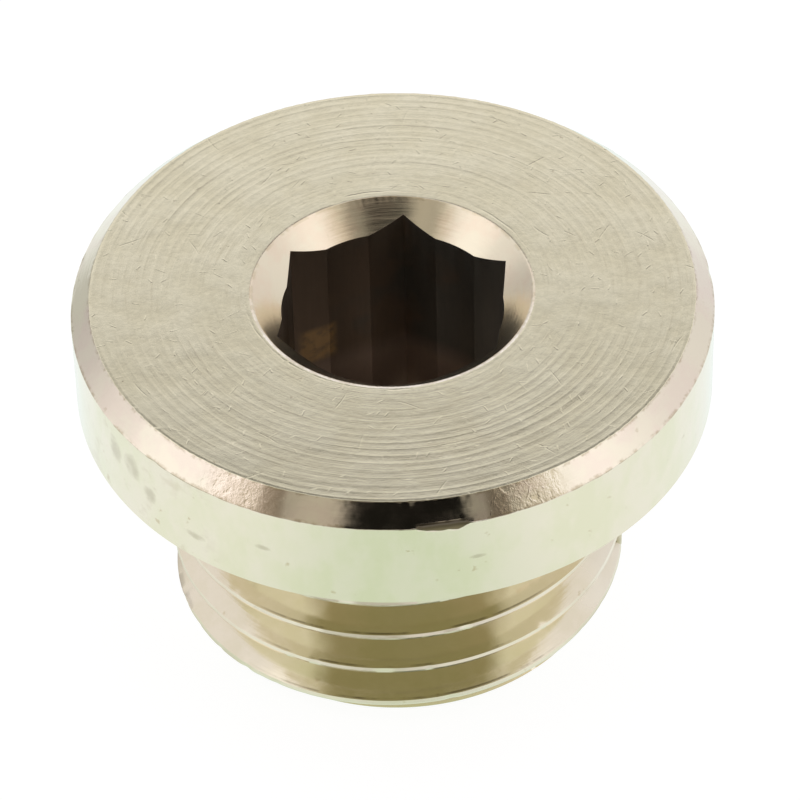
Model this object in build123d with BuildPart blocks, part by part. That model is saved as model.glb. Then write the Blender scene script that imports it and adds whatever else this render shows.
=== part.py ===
"""Hex socket plug, G 1/4: one turned brass piece with a flange, a parallel pipe thread and a hex socket.

The axis is Z. The origin is on the axis, in the plane of the flange's seat face: the flange stands above it
and the threaded shank hangs below it. Two corners of the hex socket lie on the Y axis. Millimetres.
"""

import os
from math import ceil, cos, radians, sin, tan

from build123d import *

# Flange
flange_d = 18.0
flange_height = 3.35
flange_top_chamfer = 0.54
flange_seat_chamfer = 0.04

# Shank, measured from the seat face to the end face
shank_length = 7.65
shank_end_chamfer = 0.8

# Parallel pipe thread: its root round follows from the pitch, its depth from the crest that is left flat
thread_nominal_d = 13.157
thread_allowance = 0.1
thread_pitch = 1.337
thread_flank_angle = 27.5
thread_crest_flat = 0.14
thread_runout_angle = 176.0

# Relief between the seat face and the thread
relief_width = 1.9
relief_clearance = 0.1
relief_corner_r = 0.3
relief_exit_angle = 30.0

# Socket: drilled and countersunk, then broached to a hexagon that leaves strips of the drilled wall. The end
# wall is left between the drill point and the end face, the pilot overrun between the hexagon and the point.
hex_across_flats = 6.1
end_wall = 1.8
pilot_oversize = 0.14
pilot_overrun = 0.3
drill_point_angle = 118.0
countersink_angle = 90.0
countersink_rim = 0.39
countersink_lip_r = 0.4

# Thread form: straight flanks down to the root round, which is laid out as a flat and facets that touch it
thread_major_r = (thread_nominal_d - thread_allowance) / 2
thread_root_r = 0.137329 * thread_pitch
groove_half_width = (thread_pitch - thread_crest_flat) / 2
root_above_apex = thread_root_r / sin(radians(thread_flank_angle)) - thread_root_r
thread_depth = groove_half_width / tan(radians(thread_flank_angle)) - root_above_apex
thread_minor_r = thread_major_r - thread_depth
root_facet_length = 2 * thread_root_r * tan(radians((90 - thread_flank_angle) / 4))
root_facet_angle = (90 + thread_flank_angle) / 2

# The thread cutter stands out of the shank so little that neighbouring turns of it stay apart
cutter_overrun = thread_crest_flat / 2
cutter_r = thread_major_r + cutter_overrun
cutter_half_width = groove_half_width + cutter_overrun * tan(radians(thread_flank_angle))

# Radii and heights of the turned form
flange_r = flange_d / 2
relief_r = thread_minor_r - relief_clearance
relief_exit_height = (thread_major_r - relief_r) * tan(radians(relief_exit_angle))
hex_corner_r = hex_across_flats / 2 / cos(radians(30))
pilot_r = (hex_across_flats + pilot_oversize) / 2
drill_tip_z = end_wall - shank_length
pilot_floor_z = drill_tip_z + pilot_r / tan(radians(drill_point_angle / 2))
hex_floor_z = pilot_floor_z + pilot_overrun
countersink_r = hex_corner_r + countersink_rim
countersink_z = flange_height - (countersink_r - pilot_r) / tan(radians(countersink_angle / 2))

# The thread groove leaves the work in the middle of the relief and enters it below the end face
runout_z = -relief_width / 2
thread_turns = ceil((shank_length + runout_z) / thread_pitch + 1 / 2)

# One turn of the thread cutter, from the X axis: a groove section that follows a right-hand helix
with BuildPart() as groove_turn:
    with BuildLine() as turn_path:
        Helix(thread_pitch, thread_pitch, (thread_major_r + thread_minor_r) / 2)
    with BuildSketch(Plane.XZ):
        with BuildLine():
            root_flat = Line((thread_minor_r, 0), (thread_minor_r, root_facet_length / 2))
            root_facet = PolarLine(root_flat @ 1, root_facet_length, root_facet_angle)
            flank = Line(root_facet @ 1, (cutter_r, cutter_half_width))
            Line(flank @ 1, (cutter_r, 0))
            mirror(about=Plane.XZ)
        make_face()
    sweep(path=turn_path.line, is_frenet=True)

with BuildPart() as plug:
    # Turned and bored blank: half of its section, revolved about the axis
    with BuildSketch(Plane.XZ) as blank_section:
        with BuildLine():
            Polyline(
                (0, -shank_length),
                (thread_major_r - shank_end_chamfer, -shank_length),
                (thread_major_r, -shank_length + shank_end_chamfer),
                (thread_major_r, -relief_width - relief_exit_height),
                (relief_r, -relief_width),
                (relief_r, 0),
                (flange_r - flange_seat_chamfer, 0),
                (flange_r, flange_seat_chamfer),
                (flange_r, flange_height - flange_top_chamfer),
                (flange_r - flange_top_chamfer, flange_height),
                (countersink_r, flange_height),
                (pilot_r, countersink_z),
                (pilot_r, pilot_floor_z),
                (0, drill_tip_z),
                close=True,
            )
        make_face()
        lip = blank_section.vertices().sort_by_distance((countersink_r, flange_height))[0]
        fillet(lip, countersink_lip_r)
        relief_corner = blank_section.vertices().sort_by_distance((relief_r, 0))[0]
        fillet(relief_corner, relief_corner_r)
    revolve(axis=Axis.Z)

    # Broached hexagon
    with BuildSketch(Plane.XY.offset(hex_floor_z)):
        RegularPolygon(hex_corner_r, 6, rotation=30)
    extrude(amount=flange_height - hex_floor_z, mode=Mode.SUBTRACT)

    # Thread, cut turn by turn from the relief down past the end face
    for turn in range(1, thread_turns + 1):
        turn_start = Location((0, 0, runout_z - turn * thread_pitch), (0, 0, thread_runout_angle))
        with Locations(turn_start):
            add(groove_turn.part, mode=Mode.SUBTRACT)

plug.part.label = "plug"
os.makedirs("parts", exist_ok=True)
export_step(plug.part, "parts/plug.step")
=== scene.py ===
"""Hex socket plug, G 1/4, in nickel-plated turned brass: one detailed piece that stands for the CAD node."""

import math

import bmesh
import bpy
import numpy as np
from mathutils import Matrix, Vector


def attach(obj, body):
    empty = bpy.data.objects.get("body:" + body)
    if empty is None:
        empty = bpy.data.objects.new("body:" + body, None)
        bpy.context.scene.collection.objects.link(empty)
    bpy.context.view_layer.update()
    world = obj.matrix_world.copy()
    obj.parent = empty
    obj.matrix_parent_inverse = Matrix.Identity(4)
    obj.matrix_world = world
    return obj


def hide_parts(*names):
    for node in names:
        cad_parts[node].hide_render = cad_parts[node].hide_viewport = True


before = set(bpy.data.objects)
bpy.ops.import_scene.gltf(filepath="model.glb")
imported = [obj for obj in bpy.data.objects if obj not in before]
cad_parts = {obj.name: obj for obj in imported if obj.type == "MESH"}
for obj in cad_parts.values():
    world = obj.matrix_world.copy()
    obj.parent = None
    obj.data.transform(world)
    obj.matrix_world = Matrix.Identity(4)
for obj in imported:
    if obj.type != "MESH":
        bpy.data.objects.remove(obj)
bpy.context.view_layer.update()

MM = 0.001

# -------------------------------------------------------------------------------------------- dimensions, mm
FLANGE_R, FLANGE_H = 9.0, 3.35
TOP_CHAMFER, SEAT_CHAMFER = 0.54, 0.04
END_Z, END_CHAMFER = -7.65, 0.8
PITCH, CREST_FLAT = 1.337, 0.14
FLANK = math.radians(27.5)
ROOT_R = 0.137329 * PITCH
MAJOR_R = (13.157 - 0.1) / 2
MINOR_R = MAJOR_R - (PITCH - CREST_FLAT) / 2 / math.tan(FLANK) + ROOT_R * (1 / math.sin(FLANK) - 1)
RUNOUT_Z, RUNOUT_DEG = -0.95, 182.0
RELIEF_R, RELIEF_Z, RELIEF_CORNER = MINOR_R - 0.1, -1.9, 0.3
EXIT_SLOPE = math.tan(math.radians(30))
HEX_HALF = 3.05
PILOT_R = 3.12
END_WALL, PILOT_OVERRUN = 1.8, 0.3
DRILL_HALF_ANGLE = math.radians(59)
TIP_Z = END_Z + END_WALL
PILOT_Z = TIP_Z + PILOT_R / math.tan(DRILL_HALF_ANGLE)
HEX_Z = PILOT_Z + PILOT_OVERRUN
MOUTH_R, LIP_R, SINK_SLOPE = 3.945, 0.15, 0.92  # the cone's edge at the top, its round, and the cone's rise
MOUTH_SWING, LIP_SWING, SLOPE_SWING = 0.045, 0.11, 0.035  # how far wear moves each of these, both ways
CREST_BLEND = 0.07  # how far down the flank the crest's worn edge reaches

# bearings round the axis, in degrees from +X
VIEW_TURN = 6.1  # the photograph's camera stands this far round from the -Y axis
WORN_SIDE = -84.0  # where the mouth is worn most
CHIP, CHIP_HALF = -76.3, 4.6  # the middle and half width of the bite in the top chamfer
FINE_FROM, FINE_TO = 276.5, 291.5  # the stretch round the chip where the mesh is finer

COLUMNS = 432  # even columns of the mesh round the axis
# colour of the painted shade on the seat and on the thread's flanks
PAINTED_SHADE_COLOR = (0.36, 0.29, 0.155)

rng = np.random.default_rng(7)


# ---------------------------------------------------------------------------------------------- camera
def place_camera():
    """The photograph's camera, which aims near the middle of the top face."""
    dist, elev, roll = 135.67, math.radians(42.184), math.radians(-1.442)
    right, up = 0.139, -3.128
    turn = Matrix.Rotation(math.radians(VIEW_TURN), 4, "Z")
    eye = Vector((0, -math.cos(elev), math.sin(elev))) * dist
    aim = Vector((right, 0, 0)) + Vector((0, math.sin(elev), math.cos(elev))) * up
    back = (eye - aim).normalized()
    side = Vector((0, 0, 1)).cross(back).normalized()
    tall = back.cross(side)
    side, tall = side * math.cos(roll) + tall * math.sin(roll), tall * math.cos(roll) - side * math.sin(roll)
    pose = Matrix((side, tall, back)).transposed().to_4x4()
    pose.translation = eye
    data = bpy.data.cameras.new("camera")
    data.sensor_width = 36.0
    data.lens = 218.853
    data.clip_start, data.clip_end = 0.005, 20.0
    cam = bpy.data.objects.new("camera", data)
    bpy.context.scene.collection.objects.link(cam)
    lift = Matrix.Translation((0, 0, FLANGE_H))
    pose = turn @ lift @ pose
    pose.translation *= MM
    cam.matrix_world = pose
    bpy.context.scene.camera = cam


# ---------------------------------------------------------------------------------------------- plug mesh
def smooth_noise(theta, waves, amp):
    """A periodic sum of seeded sines round the plug, so that an edge is never a perfect circle."""
    out = np.zeros_like(theta)
    for w in waves:
        out += rng.normal() * np.sin(w * theta + rng.uniform(0, 2 * math.pi))
    return amp * out / math.sqrt(len(waves))


def groove_radius(d):
    """Radius of the thread groove at an axial distance d from its root line."""
    flank_d, flank_r = ROOT_R * math.cos(FLANK), MINOR_R + ROOT_R * (1 - math.sin(FLANK))
    root = MINOR_R + ROOT_R - np.sqrt(np.maximum(ROOT_R**2 - d**2, 0))
    return np.where(d < flank_d, root, flank_r + (d - flank_d) / math.tan(FLANK))


def blank_radius(z):
    """Radius of the turned blank between the relief and the end face."""
    exit_cone = RELIEF_R + (RELIEF_Z - z) / EXIT_SLOPE
    end_cone = MAJOR_R - END_CHAMFER + (z - END_Z)
    return np.minimum(np.minimum(np.where(z > RELIEF_Z, RELIEF_R, exit_cone), MAJOR_R), end_cone)


def root_distance(theta_deg, z):
    """Axial distance from the nearest turn of the groove's root line."""
    root_z = RUNOUT_Z + PITCH * (theta_deg - RUNOUT_DEG) / 360
    return np.abs((z - root_z + PITCH / 2) % PITCH - PITCH / 2)


def thread_radius(theta_deg, z):
    """Radius of the threaded shank: the blank less the groove, with its crests' edges worn round."""
    blank = blank_radius(z)
    gap = groove_radius(root_distance(theta_deg, z)) - blank
    worn = blank - (gap - CREST_BLEND) ** 2 / (4 * CREST_BLEND)
    r = np.where(np.abs(gap) < CREST_BLEND, worn, blank + np.minimum(gap, 0))
    return np.where((z >= RELIEF_Z) | (z <= END_Z), np.minimum(blank, blank + gap), r)


def thread_rows(theta_deg):
    """Heights (row, column) from the relief's edge down to the end face.

    The rows follow the helix and stop at both ends. The nearest row is moved onto each edge that the groove
    makes with the relief or the chamfer.
    """
    edge = (PITCH - CREST_FLAT) / 2
    half = [0.0, 0.085, 0.163, 0.3, 0.45, edge - 0.04, edge - 0.02, edge, edge + 0.02, edge + 0.04]
    steps = np.array(sorted([-h for h in half[1:]] + half + [PITCH / 2]))
    rows = np.sort(np.concatenate([RUNOUT_Z + PITCH / 2 - k * PITCH - steps for k in range(8)]))[::-1]
    z = rows[:, None] + PITCH * (theta_deg[None, :] - RUNOUT_DEG) / 360
    z = np.clip(z, END_Z, RELIEF_Z)
    keep = ~(np.all(z == END_Z, axis=1) | np.all(z == RELIEF_Z, axis=1))
    z = np.vstack([np.full((1, z.shape[1]), RELIEF_Z), z[keep], np.full((1, z.shape[1]), END_Z)])
    fine = np.linspace(RELIEF_Z - 1e-4, END_Z + 1e-4, 3000)
    exit_z, chamfer_z = RELIEF_Z - (MAJOR_R - RELIEF_R) * EXIT_SLOPE, END_Z + END_CHAMFER
    for j, t in enumerate(theta_deg):
        gap = blank_radius(fine) - groove_radius(root_distance(t, fine))
        crossings = fine[:-1][np.diff(np.sign(gap)) != 0]
        kinks = [k for k in crossings if k > exit_z - 0.02 or k < chamfer_z + 0.02]
        for corner in (exit_z, chamfer_z):
            if np.interp(-corner, -fine, gap) < 0:
                kinks.append(corner)
        used = set()
        for kink in kinks:
            inner = [i for i in range(1, len(z) - 1) if END_Z < z[i, j] < RELIEF_Z and i not in used]
            i = min(inner, key=lambda i: abs(z[i, j] - kink))
            if abs(z[i, j] - kink) < 0.08:
                used.add(i)
                z[i, j] = kink
    return z


def arc(cx, cz, r, a0, a1, n):
    """Points of an arc round (cx, cz), from a0 to a1 degrees."""
    angles = [math.radians(a) for a in np.linspace(a0, a1, n)]
    return [(cx + r * math.cos(a), cz + r * math.sin(a)) for a in angles]


def rounded(p, a, b, r, n=4):
    """A corner at p between neighbours a and b, turned into a small round of radius r."""
    p, a, b = (Vector(v) for v in (p, a, b))
    u, v = (a - p).normalized(), (b - p).normalized()
    half = u.angle(v) / 2
    s, e = p + u * (r / math.tan(half)), p + v * (r / math.tan(half))
    centre = p + (u + v).normalized() * (r / math.sin(half))
    out = []
    for t in np.linspace(0, 1, n):
        q = (s - centre).lerp(e - centre, t)
        out.append(tuple(centre + q.normalized() * r))
    return out


def build_plug():
    """The plug as rings from the drill point up, out over the flange and down to the end face's middle."""
    step = 360 / COLUMNS
    even, fine = np.arange(COLUMNS) * step, np.arange(FINE_FROM, FINE_TO, 0.35)
    theta = set(np.round(even, 6)) | set(np.round(fine, 6))
    strip = math.degrees(math.acos(HEX_HALF / PILOT_R))
    for flat in range(0, 360, 60):
        for side in (-strip, strip):
            theta.add((flat + side) % 360)
    theta = np.array(sorted(theta))
    rad = np.radians(theta)
    cols = len(theta)
    flat_angle = (rad + math.radians(30)) % math.radians(60) - math.radians(30)
    hex_r = np.maximum(HEX_HALF / np.cos(flat_angle), PILOT_R)
    # the mouth is worn wider and rounder on one side, and stays sharp on the other
    worn = np.cos(rad - math.radians(WORN_SIDE))
    mouth_r, lip = MOUTH_R + MOUTH_SWING * worn, LIP_R + LIP_SWING * worn
    slope = SINK_SLOPE - SLOPE_SWING * worn
    turn = np.arctan(slope)
    lip_top = mouth_r + lip * np.tan(turn / 2)
    lip_r, lip_z = lip_top - lip * np.sin(turn), FLANGE_H - lip * (1 - np.cos(turn))
    cone_z = lip_z - (lip_r - hex_r) * slope

    rows, slots = [], []

    def ring(r, z, slot):
        rows.append((np.broadcast_to(r, cols).astype(float), np.broadcast_to(z, cols).astype(float)))
        slots.append(slot)

    # socket, from the drill point up to the lip
    for f in (0, 0.3, 0.65, 0.97, 1.0):
        ring(PILOT_R * f, TIP_Z + (PILOT_Z - TIP_Z) * f, "socket")
    for f in (0.5, 1.0):
        ring(PILOT_R, PILOT_Z + (HEX_Z - PILOT_Z) * f, "socket")
    ring((PILOT_R + hex_r) / 2, HEX_Z, "socket")
    ring(hex_r, HEX_Z, "socket")
    for f in (0.33, 0.66):
        ring(hex_r, HEX_Z + (cone_z - HEX_Z) * f, "socket")
    bevel = 0.004
    ring(hex_r, cone_z - bevel, "socket")
    ring(hex_r + bevel, cone_z + bevel, "socket")
    for f in (0.03, 0.35, 0.7):
        out, up = (lip_r - hex_r - bevel) * f, (lip_z - cone_z - bevel) * f
        ring(hex_r + bevel + out, cone_z + bevel + up, "sink")
    burr_and_painted_shadow = smooth_noise(rad, range(11, 190, 13), 0.007) + smooth_noise(rad, range(97, 210, 8), 0.006)
    for f in np.linspace(1, 0.08, 7):
        drop = lip * (1 - np.cos(f * turn))
        ring(lip_top - lip * np.sin(f * turn) + burr_and_painted_shadow * (1 - f), FLANGE_H - drop, "sink")
    # top face, chamfer and side; the rings close to each edge keep the faces' shading flat up to it
    ring(lip_top + 0.04, FLANGE_H, "top")
    for r in (4.6, 5.4, 6.2, 7.0, 7.8, 8.36):
        ring(r, FLANGE_H, "top")
    top_edge = (FLANGE_R - TOP_CHAMFER, FLANGE_H)
    low_edge = (FLANGE_R, FLANGE_H - TOP_CHAMFER)
    wave = smooth_noise(rad, range(9, 60, 4), 0.007) + smooth_noise(rad, range(80, 215, 9), 0.010)
    for r, z in rounded(top_edge, (0, FLANGE_H), low_edge, 0.035, 4):
        ring(r + wave * 0.6, z, "top")
    for f in (0.08, 0.3, 0.6, 0.8, 0.9):
        ring(top_edge[0] + TOP_CHAMFER * f, FLANGE_H - TOP_CHAMFER * f, "chamfer")
    wave = smooth_noise(rad, range(7, 70, 5), 0.005) + smooth_noise(rad, range(80, 215, 9), 0.004)
    for r, z in rounded(low_edge, top_edge, (FLANGE_R, 0), 0.045, 4):
        ring(np.minimum(r, FLANGE_R), z + wave, "chamfer")
    for z in (2.72, 2.66, 2.61, 2.56, 2.3, 1.9, 1.2, 0.5):
        ring(FLANGE_R, z, "side")
    seat_top, seat_low = (FLANGE_R, SEAT_CHAMFER), (FLANGE_R - SEAT_CHAMFER, 0)
    for r, z in rounded(seat_top, (FLANGE_R, 1), seat_low, 0.012, 3):
        ring(np.minimum(r, FLANGE_R), z, "side")
    for r, z in rounded(seat_low, seat_top, (0, 0), 0.012, 3):
        ring(r, np.maximum(z, 0), "seat")
    for r in (8.2, 7.4, 6.6, RELIEF_R + RELIEF_CORNER + 0.05):
        ring(r, 0, "seat")
    for r, z in arc(RELIEF_R + RELIEF_CORNER, -RELIEF_CORNER, RELIEF_CORNER, 90, 180, 6):
        ring(r, z, "seat")
    for z in (-0.8, -1.4):
        ring(RELIEF_R, z, "thread")
    # thread
    first = len(rows)
    z = thread_rows(theta)
    for i in range(len(z)):
        ring(thread_radius(theta, z[i]), z[i], "thread")
    last = len(rows) - 1
    # end face
    for f in (0.97, 0.7, 0.4, 0.15, 0):
        ring((MAJOR_R - END_CHAMFER) * f, END_Z, "end")

    r = np.array([a for a, _ in rows])
    z = np.array([b for _, b in rows])
    wear(rad, r, z, first, last)

    verts = np.stack([r * np.cos(rad), r * np.sin(rad), z], -1).reshape(-1, 3) * MM
    faces = []
    index = np.arange(r.size).reshape(r.shape)
    names = ["top", "chamfer", "side", "seat", "thread", "end", "sink", "socket"]
    material = []
    for i in range(len(rows) - 1):
        slot = names.index(slots[i + 1])
        a, b = index[i], index[i + 1]
        for j in range(cols):
            k = (j + 1) % cols
            faces.append((a[j], a[k], b[k], b[j]))
            material.append(slot)

    mesh = bpy.data.meshes.new("plug_turned")
    mesh.from_pydata(verts.tolist(), [], faces)
    mesh.polygons.foreach_set("material_index", material)
    bm = bmesh.new()
    bm.from_mesh(mesh)
    bmesh.ops.remove_doubles(bm, verts=bm.verts, dist=2e-8)
    bmesh.ops.dissolve_degenerate(bm, dist=1e-8, edges=bm.edges)
    bmesh.ops.recalc_face_normals(bm, faces=bm.faces)
    thread_slot = names.index("thread")
    for e in bm.edges:
        e.smooth = True
        if len(e.link_faces) == 2:
            rough = all(f.material_index == thread_slot for f in e.link_faces)
            e.smooth = e.calc_face_angle(0.0) < math.radians(32 if rough else 11)
    for f in bm.faces:
        f.smooth = True
    bm.to_mesh(mesh)
    bm.free()
    obj = bpy.data.objects.new("plug_turned", mesh)
    bpy.context.scene.collection.objects.link(obj)
    for name in names:
        mesh.materials.append(MATERIALS[name])
    return obj


def wear(rad, r, z, first, last):
    """Small knocks: a bite and lesser dents in the flange's edge, and nicks along the thread's crest."""
    deg = np.degrees(rad)

    def near(centre, width):
        return np.exp(-((((deg - centre + 180) % 360) - 180) / width) ** 2)

    # the bite and lesser dents on the lower edge of the top chamfer, each a small steep facet
    bites = 0.06 * np.clip(1.9 * near(CHIP, CHIP_HALF) - 0.4, 0, 1)
    bites *= 1 + 0.2 * near(-73.0, 1.1) - 0.25 * near(-78.6, 1.3) - 0.12 * near(-75.4, 0.6)
    for centre, width, depth in ((-131.0, 1.0, 0.03), (12.0, 1.4, 0.03), (101.0, 1.8, 0.04)):
        bites += depth * near(centre, width)
    for i in range(len(r)):
        if r[i].min() > 8.7 and z[i].min() > 2.0:
            facet = FLANGE_R - bites - 0.32 * (z[i] - (FLANGE_H - TOP_CHAMFER))
            r[i] = np.where(bites > 0.002, np.minimum(r[i], facet), r[i])
    # nicks in the thread's crest: two in five lie on one side, the rest anywhere
    rows = slice(first, last + 1)
    crest = np.clip((r[rows] - (MAJOR_R - 0.12)) / 0.12, 0, 1)
    knocks = np.zeros_like(crest)
    for _ in range(230):
        centre, level = rng.uniform(0, 360), rng.uniform(END_Z, RELIEF_Z)
        if rng.uniform() < 0.4:
            centre = rng.normal(222, 20)
        reach = rng.uniform(0.8, 1.9)
        knocks += near(centre, reach) * np.exp(-((z[rows] - level) / 0.25) ** 2) * rng.uniform(0.006, 0.034)
    r[rows] -= knocks * crest * (1 - 0.7 * near(5, 35))


# ---------------------------------------------------------------------------------------------- node helper
class Nodes:
    """Builds a node tree by expressions: every call returns an output socket."""

    def __init__(self, tree):
        self.tree = tree
        tree.nodes.clear()

    def add(self, kind, **settings):
        node = self.tree.nodes.new(kind)
        for key, value in settings.items():
            setattr(node, key, value)
        return node

    def put(self, socket, value):
        if isinstance(value, bpy.types.NodeSocket):
            self.tree.links.new(value, socket)
        elif value is not None:
            socket.default_value = value

    def math(self, op, a, b=None):
        node = self.add("ShaderNodeMath", operation=op)
        for socket, value in zip(node.inputs, (a, b)):
            self.put(socket, value)
        return node.outputs[0]

    def mul(self, a, b):
        return self.math("MULTIPLY", a, b)

    def plus(self, a, b):
        return self.math("ADD", a, b)

    def minus(self, a, b):
        return self.math("SUBTRACT", a, b)

    def ramp(self, x, lo, hi, to_lo=0.0, to_hi=1.0, smooth=True):
        node = self.add("ShaderNodeMapRange", interpolation_type="SMOOTHSTEP" if smooth else "LINEAR")
        for socket, value in zip(node.inputs, (x, lo, hi, to_lo, to_hi)):
            self.put(socket, value)
        return node.outputs[0]

    def window(self, x, lo, hi, soft):
        """1 between lo and hi, 0 outside, with edges soft wide."""
        return self.mul(self.ramp(x, lo - soft, lo + soft), self.ramp(x, hi - soft, hi + soft, 1.0, 0.0))

    def curve(self, x, points, top):
        """A line through the points (x, value); every value lies between 0 and top."""
        lo, hi = points[0][0], points[-1][0]
        node = self.add("ShaderNodeFloatCurve")
        line = node.mapping.curves[0]
        while len(line.points) < len(points):
            line.points.new(0.5, 0.5)
        for dot, (px, py) in zip(line.points, points):
            dot.location = ((px - lo) / (hi - lo), py / top)
            dot.handle_type = "VECTOR"
        node.mapping.update()
        self.put(node.inputs["Value"], self.ramp(x, lo, hi, smooth=False))
        return self.mul(node.outputs[0], top)

    def mix(self, f, a, b):
        node = self.add("ShaderNodeMix", data_type="RGBA")
        self.put(node.inputs[0], f)
        self.put(node.inputs[6], a if isinstance(a, bpy.types.NodeSocket) else (*a, 1.0))
        self.put(node.inputs[7], b if isinstance(b, bpy.types.NodeSocket) else (*b, 1.0))
        return node.outputs[2]

    def noise(self, vector, scale, detail=2.0, rough=0.5):
        node = self.add("ShaderNodeTexNoise")
        self.put(node.inputs["Vector"], vector)
        node.inputs["Scale"].default_value = scale
        node.inputs["Detail"].default_value = detail
        node.inputs["Roughness"].default_value = rough
        return node.outputs["Fac"]

    def vector(self, x, y, z):
        node = self.add("ShaderNodeCombineXYZ")
        for socket, value in zip(node.inputs, (x, y, z)):
            self.put(socket, value)
        return node.outputs[0]


class Place:
    """Object coordinates in mm and polar coordinates about the plug's axis."""

    def __init__(self, n):
        coords = n.add("ShaderNodeTexCoord")
        scale = n.add("ShaderNodeVectorMath", operation="SCALE")
        n.put(scale.inputs[0], coords.outputs["Object"])
        scale.inputs["Scale"].default_value = 1000.0
        self.p = scale.outputs[0]
        split = n.add("ShaderNodeSeparateXYZ")
        n.put(split.inputs[0], self.p)
        self.x, self.y, self.z = split.outputs
        self.r = n.math("SQRT", n.plus(n.mul(self.x, self.x), n.mul(self.y, self.y)))
        # the bearing as a direction, which noise can follow round the axis without a seam
        self.cos = n.math("DIVIDE", self.x, n.math("MAXIMUM", self.r, 0.01))
        self.sin = n.math("DIVIDE", self.y, n.math("MAXIMUM", self.r, 0.01))


def scratches(n, p, cell, width, length, chance, seed):
    """Slightly bent hair scratches, one to a cell at a random place and angle; 1 in the scratch."""
    shift = n.add("ShaderNodeVectorMath", operation="ADD")
    n.put(shift.inputs[0], p)
    shift.inputs[1].default_value = (seed * 3.7, seed * 1.9, seed * 5.3)
    scaled = n.add("ShaderNodeVectorMath", operation="SCALE")
    n.put(scaled.inputs[0], shift.outputs[0])
    scaled.inputs["Scale"].default_value = 1.0 / cell
    cells = n.add("ShaderNodeTexVoronoi", voronoi_dimensions="3D", feature="F1")
    cells.inputs["Scale"].default_value = 1.0
    n.put(cells.inputs["Vector"], scaled.outputs[0])
    away = n.add("ShaderNodeVectorMath", operation="SUBTRACT")
    n.put(away.inputs[0], scaled.outputs[0])
    n.put(away.inputs[1], cells.outputs["Position"])
    pick = n.add("ShaderNodeSeparateColor")
    n.put(pick.inputs[0], cells.outputs["Color"])
    spin = n.add("ShaderNodeVectorRotate", rotation_type="Z_AXIS")
    n.put(spin.inputs["Vector"], away.outputs[0])
    n.put(spin.inputs["Angle"], n.mul(pick.outputs[0], 6.2832))
    local = n.add("ShaderNodeSeparateXYZ")
    n.put(local.inputs[0], spin.outputs[0])
    bend = n.mul(n.mul(local.outputs[0], local.outputs[0]), n.minus(pick.outputs[2], 0.5))
    across = n.math("ABSOLUTE", n.plus(local.outputs[1], bend))
    along = n.math("ABSOLUTE", local.outputs[0])
    line = n.ramp(across, 0.0, width / cell, 1.0, 0.0)
    ends = n.ramp(along, 0.2 * length / cell, 0.5 * length / cell, 1.0, 0.0)
    there = n.math("LESS_THAN", pick.outputs[1], chance)
    return n.mul(n.mul(line, ends), there)


def finish_material(n, color, rough, height):
    """A bare metal surface; the height for its bump is in mm."""
    shader = n.add("ShaderNodeBsdfPrincipled")
    shader.inputs["Metallic"].default_value = 1.0
    n.put(shader.inputs["Base Color"], color)
    n.put(shader.inputs["Roughness"], rough)
    bump = n.add("ShaderNodeBump")
    bump.inputs["Strength"].default_value = 1.0
    bump.inputs["Distance"].default_value = MM
    n.put(bump.inputs["Height"], height)
    n.put(shader.inputs["Normal"], bump.outputs[0])
    out = n.add("ShaderNodeOutputMaterial")
    n.put(out.inputs[0], shader.outputs[0])


def new_material(name):
    """A material, its node builder and the place that is being shaded."""
    material = bpy.data.materials.new("nickel_plated_brass_" + name)
    material.use_nodes = True
    n = Nodes(material.node_tree)
    return material, n, Place(n)


def ring_vector(n, at, across, along):
    """Coordinates for marks that run round the axis: across grows over them, along scales the way round."""
    return n.vector(n.mul(at.cos, along), n.mul(at.sin, along), across)


def sector(n, at, centre, half, soft):
    """1 within half degrees of a bearing round the axis, 0 outside."""
    a = math.radians(centre)
    toward = n.plus(n.mul(at.cos, math.cos(a)), n.mul(at.sin, math.sin(a)))
    return n.ramp(toward, math.cos(math.radians(half + soft)), math.cos(math.radians(half - soft)))


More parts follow.
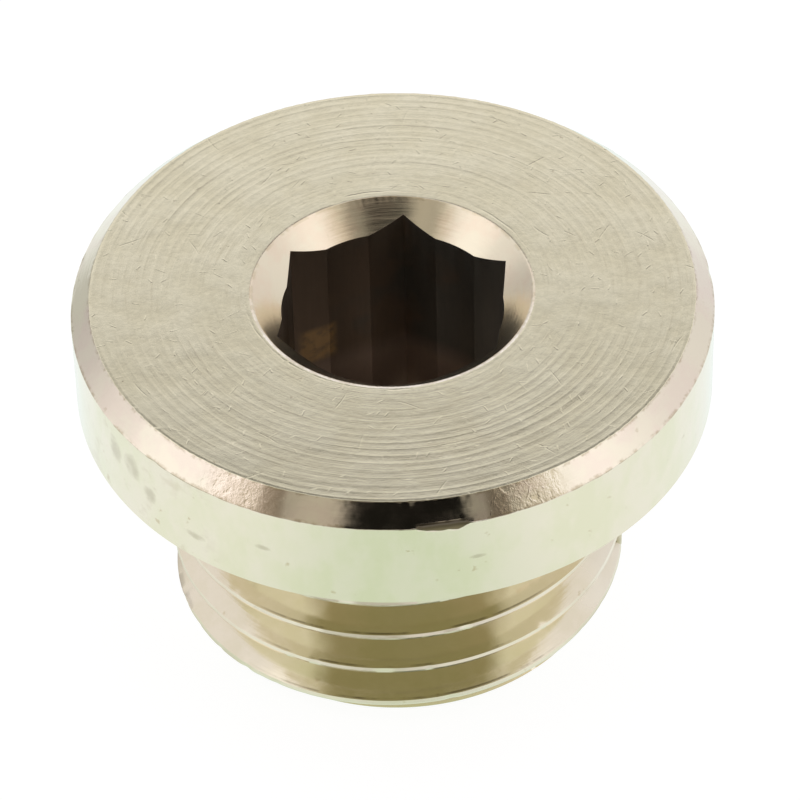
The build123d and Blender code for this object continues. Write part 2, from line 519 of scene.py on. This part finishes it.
def make_top():
    """The faced top: shallow feed rings, soft grain, short scratches and pits."""
    material, n, at = new_material("top")
    uneven = n.mul(n.minus(n.noise(n.vector(n.mul(at.r, 1.3), 0.0, 0.0), 1.0, 2.0), 0.5), 0.30)
    wander = n.mul(n.minus(n.noise(ring_vector(n, at, n.mul(at.r, 0.8), 2.2), 1.0, 3.0), 0.5), 0.05)
    feed = n.math("DIVIDE", n.plus(n.plus(at.r, uneven), wander), 0.27)
    across = n.minus(n.math("FRACT", feed), 0.5)
    white = n.add("ShaderNodeTexWhiteNoise", noise_dimensions="1D")
    n.put(white.inputs["W"], n.math("FLOOR", feed))
    torn = n.noise(ring_vector(n, at, n.mul(at.r, 1.8), 2.2), 1.0, 4.0, 0.6)
    depth = n.mul(n.ramp(torn, 0.30, 0.62, 0.35, 1.0), n.plus(n.mul(white.outputs["Value"], 0.6), 0.4))
    depth = n.mul(depth, n.ramp(n.plus(at.r, n.mul(n.noise(at.p, 0.6), 1.2)), 5.3, 6.4, 0.2, 1.0))
    depth = n.mul(depth, n.minus(1.0, n.mul(sector(n, at, -130.0, 30.0, 15.0), 0.35)))
    depth = n.mul(depth, n.minus(1.0, n.mul(sector(n, at, -84.0, 22.0, 16.0), 0.28)))
    depth = n.mul(depth, n.minus(1.0, n.mul(sector(n, at, 65.0, 60.0, 20.0), 0.3)))
    scallop = n.mul(n.minus(n.mul(n.mul(across, across), 4.0), 1.0), depth)
    streaks = n.noise(ring_vector(n, at, n.mul(at.r, 9.0), 3.0), 1.0, 4.0, 0.65)
    grain = n.noise(at.p, 7.0, 3.0, 0.6)
    swell = n.noise(at.p, 0.8, 2.0, 0.5)
    cuts = scratches(n, at.p, 1.5, 0.03, 0.8, 0.22, 1.0)
    hairs = scratches(n, at.p, 0.8, 0.022, 0.45, 0.22, 2.0)
    ticks = scratches(n, at.p, 0.5, 0.03, 0.25, 0.30, 3.0)
    pits = n.ramp(n.noise(at.p, 4.5, 3.0, 0.6), 0.69, 0.75)
    height = n.plus(n.mul(scallop, 0.0038), n.mul(streaks, 0.0028))
    height = n.plus(height, n.mul(grain, 0.0022))
    height = n.plus(height, n.mul(swell, 0.010))
    height = n.minus(height, n.mul(cuts, 0.0025))
    height = n.plus(height, n.mul(hairs, 0.0022))
    height = n.plus(height, n.mul(ticks, 0.0035))
    height = n.minus(height, n.mul(pits, 0.005))
    wobble = n.mul(n.noise(at.p, 2.5, 3.0, 0.6), 0.08)
    turned = n.mul(n.window(n.minus(at.r, wobble), 4.06, 4.10, 0.03), n.ramp(torn, 0.45, 0.60))
    height = n.minus(height, n.mul(turned, 0.004))
    tone = n.noise(at.p, 0.8, 4.0, 0.6)
    color = n.mix(n.ramp(tone, 0.3, 0.7), (0.77, 0.71, 0.50), (0.81, 0.755, 0.55))
    color = n.mix(n.mul(n.ramp(streaks, 0.52, 0.7), 0.25), color, (0.60, 0.53, 0.36))
    color = n.mix(n.mul(pits, 0.4), color, (0.42, 0.35, 0.22))
    finish_material(n, color, n.ramp(grain, 0.3, 0.7, 0.18, 0.24), height)
    return material


def polished_parts(n, at, across, line, swell, spread=14.0):
    """Height of a smooth turned face whose fine tool marks run round the axis, and a mask of stain specks."""
    fine = n.noise(ring_vector(n, at, n.mul(across, spread), 1.6), 1.0, 3.0, 0.6)
    wave = n.noise(at.p, 0.9, 3.0, 0.55)
    height = n.plus(n.mul(fine, line), n.mul(wave, swell))
    specks = n.ramp(n.noise(at.p, 2.3, 4.0, 0.6), 0.66, 0.74)
    return height, specks


def make_chamfer():
    """The top chamfer: bright, with two scuffed and browned stretches, ragged along both edges."""
    material, n, at = new_material("chamfer")
    height, specks = polished_parts(n, at, at.r, 0.0022, 0.008)
    patchy = n.noise(at.p, 1.8, 4.0, 0.6)
    scuffs = n.math("MAXIMUM", sector(n, at, -113.0, 7.5, 2.0), sector(n, at, -60.5, 6.5, 2.0))
    scuffs = n.mul(scuffs, n.ramp(patchy, 0.34, 0.48))
    grit = n.noise(at.p, 9.0, 3.0, 0.7)
    nicks = scratches(n, at.p, 0.45, 0.035, 0.4, 0.6, 5.0)
    nicks = n.plus(nicks, scratches(n, at.p, 0.3, 0.03, 0.2, 0.6, 6.0))
    height = n.plus(height, n.mul(n.mul(nicks, sector(n, at, -61.5, 6.0, 2.0)), 0.0018))
    height = n.plus(height, n.mul(n.mul(grit, scuffs), 0.009))
    ragged = n.plus(at.z, n.mul(n.minus(grit, 0.5), 0.12))
    edge = n.math("ABSOLUTE", n.minus(ragged, FLANGE_H - TOP_CHAMFER / 2))
    rim = n.mul(n.ramp(edge, 0.19, 0.26), n.ramp(n.noise(at.p, 3.0, 3.0, 0.6), 0.42, 0.62))
    stain = n.math("MAXIMUM", sector(n, at, -106.5, 1.8, 1.2), sector(n, at, -66.0, 1.6, 1.2))
    stain = n.mul(stain, n.ramp(patchy, 0.30, 0.50))
    blush = n.ramp(n.noise(at.p, 0.9, 3.0, 0.6), 0.42, 0.62)
    color = n.mix(blush, (0.805, 0.735, 0.575), (0.80, 0.70, 0.565))
    color = n.mix(sector(n, at, -112.0, 5.0, 4.0), color, (0.93, 0.80, 0.64))
    color = n.mix(n.mul(specks, 0.35), color, (0.50, 0.42, 0.28))
    color = n.mix(n.mul(scuffs, n.ramp(grit, 0.45, 0.62, 0.0, 0.2)), color, (0.50, 0.39, 0.27))
    color = n.mix(n.mul(stain, 0.6), color, (0.30, 0.22, 0.14))
    color = n.mix(n.mul(rim, 0.6), color, (0.42, 0.34, 0.21))
    # painted shade: the chip's faces on the chamfer are coloured dark brown for the dark reflection they show
    cut = n.minus(n.plus(at.r, at.z), FLANGE_R + FLANGE_H - TOP_CHAMFER)
    low = n.mul(sector(n, at, CHIP, CHIP_HALF, 1.0), n.ramp(at.z, 2.89, 2.93, 1.0, 0.0))
    bitten = n.mul(sector(n, at, CHIP, 8.0, 1.0), n.ramp(cut, -0.014, -0.005, 1.0, 0.0))
    chip_painted_shade = n.math("MAXIMUM", bitten, low)
    brown = n.mix(n.ramp(at.z, 2.80, 2.84), (0.12, 0.095, 0.055), (0.14, 0.115, 0.08))
    color = n.mix(chip_painted_shade, color, brown)
    rough = n.plus(n.ramp(patchy, 0.35, 0.7, 0.07, 0.13), n.plus(n.mul(scuffs, 0.06), n.mul(chip_painted_shade, 0.22)))
    finish_material(n, color, rough, height)
    return material


SIDE_SPOTS = (  # bearing, height, half width and half height of each soft spot on the flange's rim
    (-142.6, 1.9, 0.24, 0.42),
    (-137.3, 1.9, 0.3, 0.38),
    (-132.5, 1.35, 0.22, 0.25),
    (-107.8, 1.5, 0.22, 0.09),
    (-70.3, 1.5, 0.2, 0.07),
    (-122.0, 0.9, 0.3, 0.12),
)


def make_side():
    """The flange's rim: nearly a mirror, softly mottled, with a few faint brown smudges and spots."""
    material, n, at = new_material("side")
    height, specks = polished_parts(n, at, at.z, 0.0006, 0.006)
    mottle = n.noise(n.vector(at.x, at.y, n.mul(at.z, 0.6)), 0.8, 4.0, 0.6)
    color = n.mix(n.ramp(mottle, 0.35, 0.65), (0.765, 0.72, 0.515), (0.825, 0.75, 0.585))
    smudge = n.mul(n.ramp(n.noise(at.p, 1.3, 4.0, 0.6), 0.52, 0.66), sector(n, at, -137.0, 16.0, 8.0))
    color = n.mix(n.mul(smudge, 0.3), color, (0.56, 0.46, 0.32))
    uneven = n.mul(n.minus(n.noise(at.p, 2.2, 3.0, 0.6), 0.5), 3.0)
    for bearing, level, wide, tall in SIDE_SPOTS:
        a = math.radians(bearing)
        across = n.minus(n.mul(at.y, math.cos(a)), n.mul(at.x, math.sin(a)))
        across = n.math("DIVIDE", across, wide)
        up = n.math("DIVIDE", n.minus(at.z, level), tall)
        away = n.plus(n.plus(n.mul(across, across), n.mul(up, up)), uneven)
        spot = n.mul(sector(n, at, bearing, 20.0, 5.0), n.ramp(away, -0.1, 1.8, 0.8, 0.0))
        color = n.mix(spot, color, (0.56, 0.50, 0.36))
    color = n.mix(n.mul(specks, 0.6), color, (0.55, 0.44, 0.27))
    # painted shade: below the chip the rim is coloured dark brown for the dark reflection it shows
    bitten = n.ramp(at.r, FLANGE_R - 0.014, FLANGE_R - 0.008, 1.0, 0.0)
    chip_painted_shade = n.mul(sector(n, at, CHIP, 8.0, 1.0), bitten)
    brown = n.mix(n.ramp(at.z, 2.68, 2.80), (0.20, 0.165, 0.09), (0.10, 0.082, 0.045))
    color = n.mix(chip_painted_shade, color, brown)
    finish_material(n, color, n.plus(n.ramp(mottle, 0.4, 0.7, 0.12, 0.2), n.mul(chip_painted_shade, 0.15)), height)
    return material


def painted_shade_edge(n, at):
    """A little unevenness for the border of the sector of painted shade."""
    return n.mul(n.minus(n.noise(at.p, 0.9, 2.0), 0.5), 0.08)


def make_seat():
    """The underside of the flange: turned, with one darker sector of painted shade."""
    material, n, at = new_material("seat")
    height, specks = polished_parts(n, at, at.r, 0.0012, 0.004)
    toward = n.plus(n.mul(at.cos, 0.1063), n.mul(at.sin, -0.9943))
    # painted shade: the sector toward the camera's side is darkened, so the thread's flanks that mirror the
    # seat look dark there
    painted_shade = n.ramp(n.plus(toward, painted_shade_edge(n, at)), 0.775, 0.855)
    color = n.mix(n.mul(specks, 0.4), (0.74, 0.64, 0.49), (0.50, 0.40, 0.25))
    color = n.mix(painted_shade, color, PAINTED_SHADE_COLOR)
    finish_material(n, color, n.ramp(specks, 0.0, 1.0, 0.16, 0.26), height)
    return material


def make_thread():
    """The thread: bright flanks, stain in the roots, painted shade in a sector of the flanks that face down
    and on the crests away from the front, and a painted shadow line above the crests in front.
    """
    material, n, at = new_material("thread")
    height, specks = polished_parts(n, at, at.r, 0.001, 0.006)
    mottle = n.noise(at.p, 1.1, 4.0, 0.6)
    color = n.mix(n.ramp(mottle, 0.35, 0.65), (0.775, 0.70, 0.52), (0.815, 0.735, 0.57))
    color = n.mix(n.mul(specks, 0.4), color, (0.55, 0.44, 0.26))
    root = n.ramp(at.r, MINOR_R + 0.02, MINOR_R + 0.22, 0.45, 0.0)
    color = n.mix(n.mul(root, n.ramp(mottle, 0.3, 0.6)), color, (0.42, 0.34, 0.18))
    facing = n.add("ShaderNodeSeparateXYZ")
    n.put(facing.inputs[0], n.add("ShaderNodeNewGeometry").outputs["True Normal"])
    toward = n.plus(n.mul(at.cos, 0.139), n.mul(at.sin, -0.990))
    # painted shade: in the sector toward the camera's side the flanks facing down are darkened, and the
    # flanks facing up mirror them dark
    painted_shade = n.mul(n.ramp(n.plus(toward, painted_shade_edge(n, at)), 0.84, 0.93), n.ramp(at.z, -6.66, -6.62))
    painted_shade = n.mul(painted_shade, n.ramp(facing.outputs[2], -0.75, -0.45, 1.0, 0.0))
    color = n.mix(painted_shade, color, PAINTED_SHADE_COLOR)
    # painted shade: the crests are darker away from the camera's side, so their highlight fades there
    crest = n.mul(n.ramp(at.r, MAJOR_R - 0.05, MAJOR_R - 0.01), n.ramp(toward, 0.60, 0.78, 1.0, 0.0))
    color = n.mix(n.mul(crest, n.ramp(mottle, 0.3, 0.6, 1.0, 0.6)), color, (0.69, 0.60, 0.465))
    # painted shadow: a dark line on the upper flank just above each crest, on the side toward the camera, for
    # the shade under a small burr
    burr_and_painted_shadow = n.mul(n.window(at.r, MAJOR_R - 0.105, MAJOR_R - 0.06, 0.012), n.ramp(facing.outputs[2], 0.2, 0.4))
    burr_and_painted_shadow = n.mul(n.mul(burr_and_painted_shadow, n.ramp(toward, 0.70, 0.90)), n.ramp(n.noise(at.p, 1.1, 4.0, 0.6), 0.38, 0.62))
    color = n.mix(n.mul(burr_and_painted_shadow, 0.7), color, (0.17, 0.135, 0.08))
    dull = n.mul(sector(n, at, -4.0, 18.0, 8.0), n.window(at.z, -6.3, -4.6, 0.1))
    color = n.mix(dull, color, (0.92, 0.86, 0.72))
    finish_material(n, color, n.plus(n.ramp(mottle, 0.35, 0.7, 0.11, 0.19), n.mul(dull, 0.4)), height)
    return material


def make_end():
    """The end face: plainly turned, with a few stains."""
    material, n, at = new_material("end")
    height, specks = polished_parts(n, at, at.r, 0.006, 0.01)
    color = n.mix(n.mul(specks, 0.5), (0.79, 0.72, 0.55), (0.50, 0.40, 0.25))
    finish_material(n, color, n.ramp(specks, 0.0, 1.0, 0.22, 0.34), height)
    return material


def make_sink():
    """The countersink and its lip: fine turning lines, fainter on two stretches, stained at the rim, and a
    painted highlight along the lip's top on the front.
    """
    material, n, at = new_material("sink")
    calm = n.mul(sector(n, at, -158.0, 26.0, 12.0), 0.75)
    calm = n.plus(calm, n.mul(sector(n, at, -16.0, 24.0, 12.0), 0.5))
    height, specks = polished_parts(n, at, at.r, n.mul(n.minus(1.0, calm), 0.0062), 0.006, 13.0)
    blush = n.ramp(n.noise(at.p, 0.8, 3.0, 0.6), 0.4, 0.62)
    rim = n.mul(n.ramp(at.z, 3.27, 3.33), n.ramp(n.noise(at.p, 2.6, 4.0, 0.6), 0.45, 0.60))
    color = n.mix(blush, (0.80, 0.72, 0.54), (0.80, 0.68, 0.51))
    color = n.mix(n.mul(specks, 0.35), color, (0.52, 0.42, 0.27))
    # painted highlight: the lip's top is lighter on the side facing the camera, where the mouth is also worn
    # most
    bright = n.mul(n.ramp(at.z, 3.27, 3.33), sector(n, at, WORN_SIDE, 75.0, 15.0))
    color = n.mix(bright, color, (0.93, 0.86, 0.72))
    color = n.mix(n.mul(rim, 0.4), color, (0.55, 0.46, 0.28))
    finish_material(n, color, 0.20, height)
    return material


def make_socket():
    """The socket's walls and floor: dull, dark with painted shade, lighter towards the bottom, browner on one
    side, with upright streaks and one amber painted reflection.
    """
    material, n, at = new_material("socket")
    streak = n.noise(n.vector(n.mul(at.x, 7.0), n.mul(at.y, 7.0), n.mul(at.z, 0.35)), 1.0, 3.0, 0.6)
    tone = n.minus(n.noise(at.p, 0.6, 2.0), n.mul(at.x, 0.12))
    # painted shade: the walls are coloured far darker than the plated brass elsewhere, for the shade deep in
    # the socket
    color = n.mix(n.ramp(tone, 0.35, 0.65), (0.205, 0.205, 0.185), (0.285, 0.23, 0.175))
    # painted reflection: an amber patch on one wall, broken up by noise, for light mirrored from the other
    # walls
    along = n.plus(n.mul(at.x, -0.866), n.mul(at.y, -0.5))
    painted_reflection_patch = n.mul(n.window(along, 0.45, 1.6, 0.12), n.window(at.z, -1.5, -0.3, 0.15))
    worn = n.ramp(n.noise(at.p, 2.5, 3.0, 0.6), 0.35, 0.6, 0.4, 1.0)
    painted_reflection_patch = n.mul(painted_reflection_patch, n.mul(n.ramp(at.y, 0.9, 1.2), worn))
    color = n.mix(n.ramp(at.z, -2.2, -1.2, 1.0, 0.0), color, (0.49, 0.41, 0.345))
    color = n.mix(painted_reflection_patch, color, (0.64, 0.47, 0.25))
    finish_material(n, color, n.ramp(streak, 0.3, 0.7, 0.38, 0.48), n.mul(streak, 0.003))
    return material


MATERIALS = {
    "top": make_top(),
    "chamfer": make_chamfer(),
    "side": make_side(),
    "seat": make_seat(),
    "thread": make_thread(),
    "end": make_end(),
    "sink": make_sink(),
    "socket": make_socket(),
}


# ---------------------------------------------------------------------------------------------- studio
LIGHT_TOP = 1.3  # the curve's full scale
LIGHT_ROUND = (  # brightness of the tent round the plug, by bearing: 0 at the camera, 90 to its right
    (-180, 0.84), (-150, 0.70), (-135, 0.60), (-120, 0.70), (-106, 0.95), (-92, 1.18),
    (-84, 1.25), (-68, 1.25), (-60, 0.95), (-50, 0.70), (-45, 0.32), (-35, 0.53),
    (-22, 0.56), (20, 0.44), (30, 0.32), (40, 0.27), (46, 0.67), (56, 0.92),
    (63, 1.21), (74, 1.25), (90, 1.07), (106, 0.94), (130, 0.88), (180, 0.84),
)


def make_world():
    """A light tent: bright side panels, a white back, a dimmer front and the dark opening for the camera."""
    world = bpy.data.worlds.new("studio")
    bpy.context.scene.world = world
    world.use_nodes = True
    n = Nodes(world.node_tree)
    coords = n.add("ShaderNodeTexCoord")
    spin = n.add("ShaderNodeVectorRotate", rotation_type="Z_AXIS")
    n.put(spin.inputs["Vector"], coords.outputs["Generated"])
    spin.inputs["Angle"].default_value = -math.radians(VIEW_TURN)
    split = n.add("ShaderNodeSeparateXYZ")
    n.put(split.inputs[0], spin.outputs[0])
    x, y, z = split.outputs
    around = n.mul(n.math("ARCTAN2", x, n.mul(y, -1.0)), 180 / math.pi)
    elev = n.mul(n.math("ARCSINE", z), 180 / math.pi)
    side = n.math("ABSOLUTE", around)
    level = n.curve(around, LIGHT_ROUND, LIGHT_TOP)
    upper = n.mul(n.ramp(side, 92.0, 102.0), n.ramp(elev, 15.0, 27.0))
    level = n.plus(n.mul(level, n.minus(1.0, upper)), n.mul(upper, 0.93))
    back = n.ramp(side, 140.0, 150.0)
    level = n.plus(level, n.mul(back, n.ramp(elev, 12.0, 32.0, 0.0, 0.05)))
    level = n.mul(level, n.minus(1.0, n.mul(back, n.ramp(elev, 40.4, 43.8, 0.0, 0.17))))
    seam = n.mul(back, n.window(elev, 45.4, 57.0, 1.0))
    level = n.mul(level, n.minus(1.0, n.mul(seam, 0.76)))
    roof = n.ramp(elev, 58.0, 66.0)
    level = n.plus(n.mul(level, n.minus(1.0, roof)), n.mul(roof, 0.75))
    hole = n.mul(n.ramp(around, -25.0, -15.0), n.ramp(around, 23.0, 28.0, 1.0, 0.0))
    hole = n.mul(hole, n.ramp(elev, 28.0, 31.0))
    hole = n.mul(hole, n.ramp(elev, 52.0, 82.0, 1.0, 0.0, smooth=False))
    hole = n.mul(hole, n.ramp(elev, 48.6, 51.5, 1.0, 0.8))
    level = n.mul(level, n.minus(1.0, n.mul(hole, 0.98)))
    tint = n.mix(n.ramp(side, 50.0, 64.0), (1.0, 0.93, 0.82), (1.0, 0.99, 1.05))
    studio = n.add("ShaderNodeBackground")
    n.put(studio.inputs["Color"], tint)
    n.put(studio.inputs["Strength"], level)
    white = n.add("ShaderNodeBackground")
    white.inputs["Color"].default_value = (1, 1, 1, 1)
    white.inputs["Strength"].default_value = 1.0
    ray = n.add("ShaderNodeLightPath")
    swap = n.add("ShaderNodeMixShader")
    n.put(swap.inputs[0], ray.outputs["Is Camera Ray"])
    n.put(swap.inputs[1], studio.outputs[0])
    n.put(swap.inputs[2], white.outputs[0])
    out = n.add("ShaderNodeOutputWorld")
    n.put(out.inputs[0], swap.outputs[0])


def make_floor():
    """White paper: the camera sees it white with the plug's shadow; metal sees a painted glow instead, a
    little green and dimmer in line with the camera, brighter at the sides and darker far off, most of all to
    the left.
    """
    material = bpy.data.materials.new("floor_white")
    material.use_nodes = True
    n = Nodes(material.node_tree)
    ray = n.add("ShaderNodeLightPath")
    at = Place(n)
    a = math.radians(VIEW_TURN)
    right = n.plus(n.mul(at.x, math.cos(a)), n.mul(at.y, math.sin(a)))
    matt = n.add("ShaderNodeBsdfDiffuse")
    n.put(matt.inputs["Color"], n.mix(ray.outputs["Is Camera Ray"], (0.93, 0.96, 0.94), (1.9, 1.9, 1.9)))
    white = n.add("ShaderNodeEmission")
    white.inputs["Color"].default_value = (1, 1, 1, 1)
    white.inputs["Strength"].default_value = 1.0
    # painted light: what metal mirrors of the floor is this glow with painted brighter and darker stretches,
    # not the floor's own shading
    painted_floor_glow = n.add("ShaderNodeEmission")
    near = n.mix(n.ramp(n.math("ABSOLUTE", right), 2.0, 15.0), (0.82, 0.95, 0.88), (1.05, 1.12, 1.17))
    far = n.mix(n.ramp(right, -10.0, 10.0), (0.61, 0.63, 0.63), (0.91, 0.90, 1.0))
    n.put(painted_floor_glow.inputs["Color"], n.mix(n.ramp(at.r, 25.0, 90.0), near, far))
    painted_floor_glow.inputs["Strength"].default_value = 1.0
    seen = n.add("ShaderNodeMixShader")
    n.put(seen.inputs[0], n.mul(ray.outputs["Is Camera Ray"], 0.9))
    n.put(seen.inputs[1], matt.outputs[0])
    n.put(seen.inputs[2], white.outputs[0])
    shown = n.add("ShaderNodeMixShader")
    n.put(shown.inputs[0], n.mul(ray.outputs["Is Glossy Ray"], 0.9))
    n.put(shown.inputs[1], seen.outputs[0])
    n.put(shown.inputs[2], painted_floor_glow.outputs[0])
    out = n.add("ShaderNodeOutputMaterial")
    n.put(out.inputs[0], shown.outputs[0])
    mesh = bpy.data.meshes.new("floor")
    half, z = 3.0, END_Z * MM
    corners = [(-half, -half, z), (half, -half, z), (half, half, z), (-half, half, z)]
    mesh.from_pydata(corners, [], [(0, 1, 2, 3)])
    mesh.materials.append(material)
    floor = bpy.data.objects.new("floor", mesh)
    bpy.context.scene.collection.objects.link(floor)


place_camera()
make_world()
make_floor()
plug = build_plug()
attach(plug, "root")
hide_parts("plug")

bpy.context.scene.view_settings.view_transform = "Standard"
